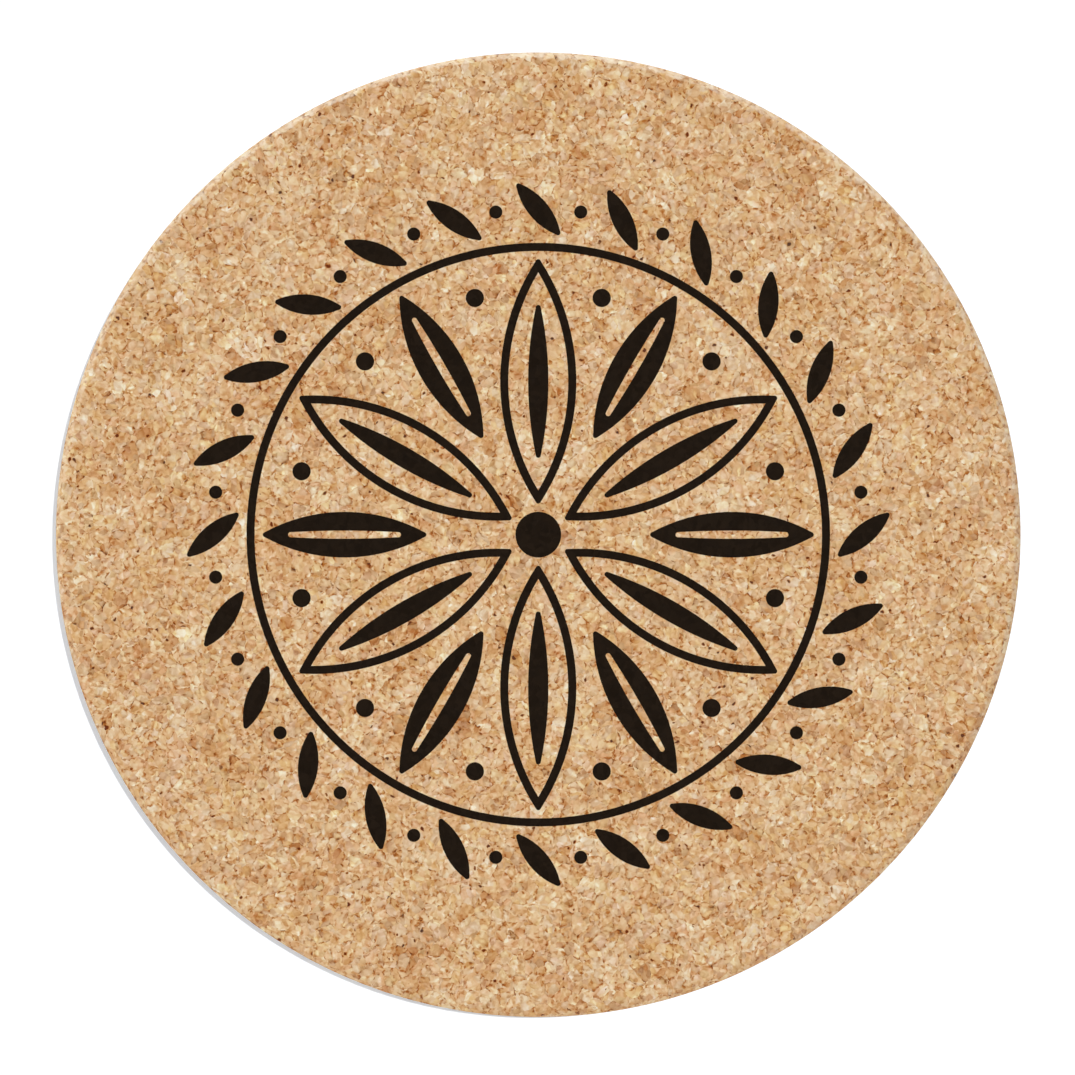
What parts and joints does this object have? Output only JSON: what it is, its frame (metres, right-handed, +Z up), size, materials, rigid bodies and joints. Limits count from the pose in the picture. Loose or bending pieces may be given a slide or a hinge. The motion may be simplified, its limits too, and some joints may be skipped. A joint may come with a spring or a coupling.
{
  "type": "trivet",
  "caption": "Round cork slab trivet with bevelled edges and a leaf rosette printed on its top face, for standing hot pans on a table.",
  "frame": {"origin": "centre of the underside, on the table", "axes": "+Z up, out of the printed face; +Y towards the first petal of the print, which is up in the picture"},
  "size_m": [0.19, 0.19, 0.01],
  "materials": {
    "cork": null,
    "ink": "matte warm black printing ink, soaked into the cork"
  },
  "bodies": {
    "root": {"cork_disc": "cork", "ink_hub": "ink", "ink_petals": "ink", "ink_hearts": "ink", "ink_sprigs": "ink", "ink_seeds": "ink", "ink_ring": "ink", "ink_border_leaves": "ink", "ink_border_dots": "ink"}
  },
  "joints": []
}
